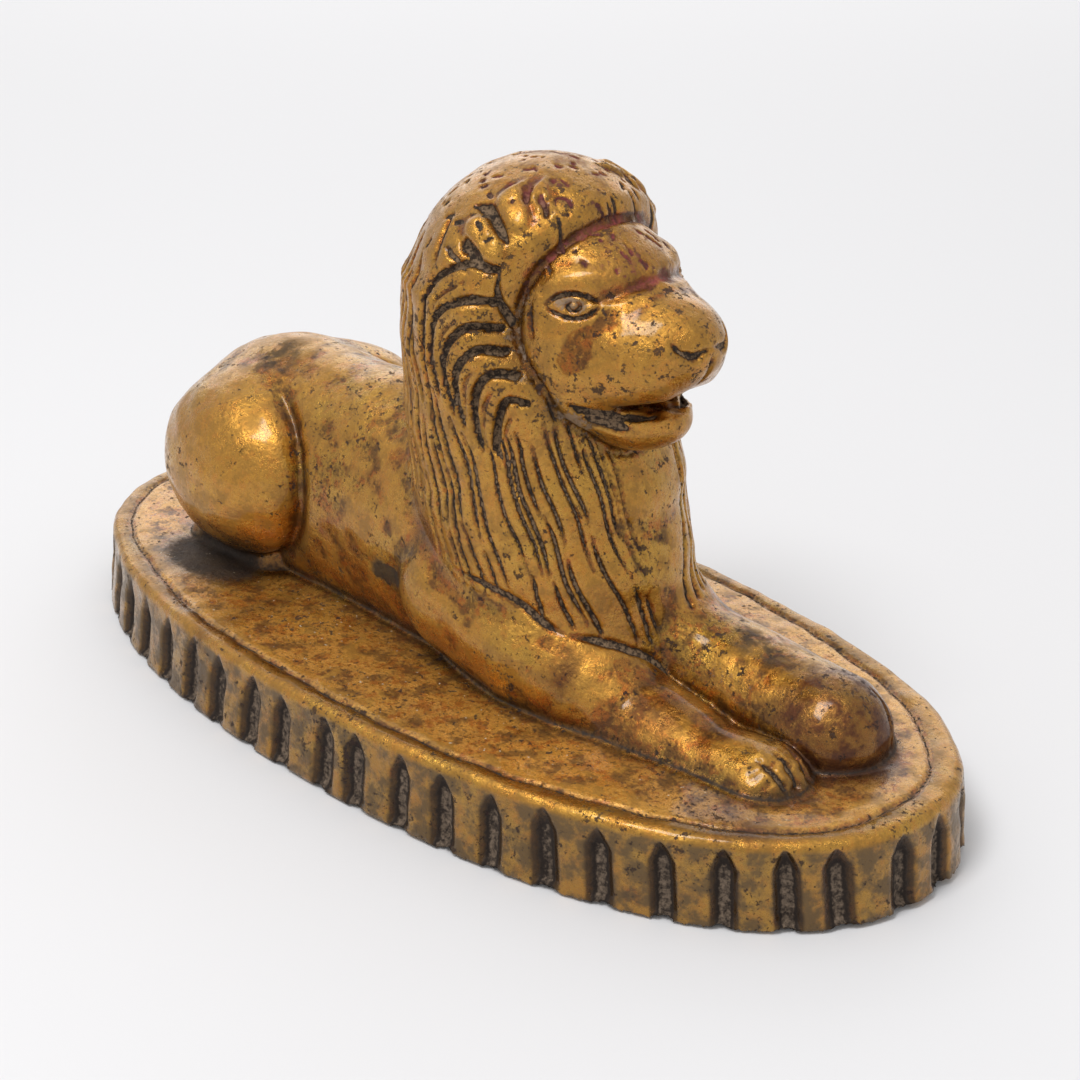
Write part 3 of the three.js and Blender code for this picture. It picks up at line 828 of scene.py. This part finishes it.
def aged_brass():
    """Sand-cast brass, chiselled and never lacquered. It is handled to gold on the high places, a gold that
    is also a painted highlight, and gone brown between, a brown that is also painted shade, and grey-brown
    wax and dirt packed in the cuts take its gloss away there."""
    material, tree = empty_material("aged cast brass")
    place = add(tree, "ShaderNodeTexCoord").outputs["Object"]

    def mark(name):
        return add(tree, "ShaderNodeAttribute", attribute_name=name).outputs["Fac"]

    def cloud(wavelength, detail, roughness=0.6):
        settings = {"Vector": place, "Scale": per_mm(wavelength), "Detail": detail, "Roughness": roughness}
        return add(tree, "ShaderNodeTexNoise", settings).outputs["Fac"]

    def math_of(operation, first, second):
        return add(tree, "ShaderNodeMath", {0: first, 1: second}, operation=operation).outputs[0]

    def times(first, second):
        return math_of("MULTIPLY", first, second)

    def most(first, *others):
        for other in others:
            first = math_of("MAXIMUM", first, other)
        return first

    def ramp(value, low, high, first=0.0, last=1.0):
        limits = {"Value": value, "From Min": low, "From Max": high, "To Min": first, "To Max": last}
        return add(tree, "ShaderNodeMapRange", limits, interpolation_type="SMOOTHSTEP").outputs["Result"]

    def mix(share, under, over):
        node = add(tree, "ShaderNodeMix", {"Factor": share}, data_type="RGBA")
        for slot_number, colour in ((6, under), (7, over)):
            if isinstance(colour, bpy.types.NodeSocket):
                tree.links.new(colour, node.inputs[slot_number])
            else:
                node.inputs[slot_number].default_value = rgb(colour)
        return node.outputs[2]

    broad, patchy, grain = cloud(9, 4), cloud(2.4, 6, 0.65), cloud(0.5, 5, 0.7)
    ragged = times(math_of("SUBTRACT", grain, 0.5), 0.6)
    hollow_tarnish_and_shade, wear_and_highlight, cut, notch = mark("hollow_tarnish_and_shade"), mark("wear_and_highlight"), mark("cut"), mark("notch")

    metal = mix(ramp(broad, 0.4, 0.6), "#A46C28", "#A88032")
    metal = mix(times(mark("head"), 0.75), metal, "#8A5418")
    metal = mix(times(mark("top"), 0.85), metal, "#DCA04A")
    orange = ramp(cloud(1.6, 6, 0.75), 0.49, 0.57)
    metal = mix(times(orange, 0.7), metal, "#A85A1C")
    metal = mix(times(ramp(patchy, 0.49, 0.6), 0.75), metal, "#5A3A18")
    metal = mix(times(ramp(cloud(0.9, 5, 0.7), 0.53, 0.62), 0.45), metal, "#C8933A")
    metal = mix(times(ramp(grain, 0.53, 0.6), 0.65), metal, "#4E320F")
    # Worn gold on the high places, which is also a painted highlight.
    metal = mix(times(ramp(wear_and_highlight, 0.35, 1.0), 0.5), metal, "#CB983E")
    metal = mix(times(mark("wall"), ramp(patchy, 0.38, 0.58, 0.3, 0.85)), metal, "#5E4C34")
    metal = mix(times(times(mark("red"), ramp(patchy, 0.4, 0.6, 0.62, 1.0)), 0.9), metal, "#4C2012")
    # Brown tarnish deepens towards the cuts and the figure's foot; in the hollows, along the foot and under
    # the haunch this brown is also painted shade and a painted shadow.
    tarnish_and_shade = most(times(hollow_tarnish_and_shade, 0.5), times(mark("grime_and_shade"), 0.85), ramp(notch, 0.02, 0.35, 0.0, 0.85))
    metal = mix(tarnish_and_shade, metal, "#3C2814")

    black = most(times(mark("black"), ramp(patchy, 0.36, 0.56)), ramp(mark("black"), 0.92, 1.0))
    # Pits and pores come in clusters, more of them on the head.
    clusters = math_of("ADD", times(math_of("SUBTRACT", broad, 0.5), 0.35), times(mark("head"), 0.03))
    pits = ramp(math_of("ADD", cloud(1.0, 5, 0.65), clusters), 0.62, 0.66)
    specks = ramp(math_of("ADD", cloud(0.4, 3, 0.6), clusters), 0.63, 0.68)
    packed_dirt_and_shade = ramp(math_of("ADD", most(cut, times(notch, 0.9)), ragged), 0.35, 0.75)
    # The painted shade and shadow round the figure's foot and under the haunch also count as packed dirt.
    packed_dirt_and_shade = most(packed_dirt_and_shade, times(ramp(math_of("ADD", mark("grime_and_shade"), ragged), 0.6, 1.0), 0.8))
    pale_middle = times(ramp(math_of("ADD", cut, ragged), 0.72, 1.06), ramp(grain, 0.42, 0.57, 0.05, 1.0))
    dirt_and_shade_colour = mix(pale_middle, "#20140B", "#826A50")
    dirt_and_shade_colour = mix(times(pits, 0.8), dirt_and_shade_colour, "#2C150F")
    # Near-black over black tarnish, the dirt at the foot, and the painted shade and shadow round the foot
    # and under the haunch.
    dirt_and_shade_colour = mix(most(times(mark("grime_and_shade"), 0.85), black), dirt_and_shade_colour, "#1C140F")
    chalky = ramp(math_of("ADD", notch, ragged), 0.91, 1.12)
    flaked = times(math_of("SUBTRACT", cloud(0.8, 6, 0.75), 0.5), 2.2)
    lime = most(times(chalky, 0.7), times(ramp(math_of("ADD", mark("lime"), flaked), 0.5, 0.95), 0.8))
    dirt_and_shade_colour = mix(lime, dirt_and_shade_colour, "#94806C")
    powdery = ramp(math_of("ADD", patchy, times(math_of("ADD", cut, hollow_tarnish_and_shade), 0.16)), 0.5, 0.68)
    powdery = most(powdery, ramp(mark("powder"), 0.6, 0.95))
    powder = times(mark("powder"), times(powdery, ramp(grain, 0.35, 0.6, 0.5, 1.0)))
    dirt_and_shade_colour = mix(powder, dirt_and_shade_colour, "#8E3B3A")
    dust = times(mark("top"), ramp(cloud(0.42, 2, 0.4), 0.735, 0.76))
    dirt_and_shade_colour = mix(dust, dirt_and_shade_colour, "#CDBFA8")
    thin = most(times(black, 0.9), times(pits, 0.85), times(specks, 0.7), times(powder, 0.85))
    dirt_and_shade = most(packed_dirt_and_shade, thin, lime, dust)

    # The dirt laid over the metal includes the painted shade and shadow round the figure's foot.
    colour = mix(dirt_and_shade, metal, dirt_and_shade_colour)
    # A thin brown oxide film scatters part of the light, most of all on the plinth's top, never rubbed.
    bare = ramp(mark("top"), 0, 1, 0.9, 0.5)
    metallic = times(bare, ramp(dirt_and_shade, 0, 1, 1.0, 0.1))
    roughness = most(ramp(patchy, 0.4, 0.6, 0.2, 0.5), times(dirt_and_shade, 0.85))
    dimples = math_of("ADD", times(cloud(0.6, 5, 0.7), 0.6), times(cloud(1.9, 4), 0.9))
    height = math_of("SUBTRACT", dimples, times(pits, 0.4))
    bump = add(tree, "ShaderNodeBump", {"Height": height, "Strength": 0.8, "Distance": 0.26 * MM})
    settings = {
        "Base Color": colour,
        "Metallic": metallic,
        "Roughness": roughness,
        "Normal": bump.outputs["Normal"],
        # Hand grease and old wax lie over the metal where no dirt is packed.
        "Coat Weight": ramp(dirt_and_shade, 0.0, 0.6, 0.45, 0.0),
        "Coat Roughness": 0.12,
    }
    close_material(tree, add(tree, "ShaderNodeBsdfPrincipled", settings))
    return material


def pale_board():
    """Matt white card under the figurine: plain, with no gloss."""
    material, tree = empty_material("matt white card")
    settings = {"Base Color": rgb("#E4E4E6"), "Roughness": 0.8}
    close_material(tree, add(tree, "ShaderNodeBsdfPrincipled", settings))
    return material


# The figurine

lion = copy_of_casting()
settle_mesh(lion)
keep_marks(lion, chisel(lion))
if len(lion.data.polygons) * 2 > FACE_BUDGET:
    finish_modifier(lion, "TRIANGULATE")
    finish_modifier(lion, "DECIMATE", ratio=FACE_BUDGET / len(lion.data.polygons))
stains(lion)
choose_only(lion)
bpy.ops.object.shade_smooth()
lion.data.materials.clear()
lion.data.materials.append(aged_brass())
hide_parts("lion_and_plinth")
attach(lion, "root")

# Floor, lights and camera

bpy.ops.object.select_all(action="DESELECT")
bpy.ops.mesh.primitive_plane_add(size=3, location=(0, 0, -0.0002))
floor = bpy.context.object
floor.name = "floor"
floor.data.materials.append(pale_board())


LIT = Vector((0.0, 0.0, 0.02))  # place that both lights face


def soft_light(name, position, size, watts):
    bpy.ops.object.light_add(type="AREA", location=position)
    light = bpy.context.object
    light.name = name
    light.data.shape = "RECTANGLE"
    light.data.size, light.data.size_y = size
    light.data.energy = watts
    light.rotation_euler = (LIT - Vector(position)).to_track_quat("-Z", "Y").to_euler()


soft_light("window overhead", position=(0.02, -0.22, 0.48), size=(0.16, 0.22), watts=1.35)
soft_light("pale wall behind", position=(-0.42, 0.42, 0.26), size=(0.8, 0.4), watts=1.1)

world = bpy.data.worlds.new("pale room")
bpy.context.scene.world = world
world.use_nodes = True
world.node_tree.nodes["Background"].inputs["Color"].default_value = rgb("#F4F3F2")
world.node_tree.nodes["Background"].inputs["Strength"].default_value = 0.76

bpy.context.scene.view_settings.view_transform = "Standard"

# The photograph's viewpoint, in metres, and its lens on a 36 mm wide frame
VIEWPOINT = Vector((0.15484, -0.14674, 0.1189))
LOOKED_AT = Vector((0.00766, 0.0, 0.02038))
FOCAL_LENGTH = 73.67

bpy.ops.object.camera_add(location=VIEWPOINT)
camera = bpy.context.object
camera.rotation_euler = (LOOKED_AT - VIEWPOINT).to_track_quat("-Z", "Y").to_euler()
camera.data.lens = FOCAL_LENGTH
camera.data.sensor_width = 36
camera.data.clip_start = 0.01
bpy.context.scene.camera = camera
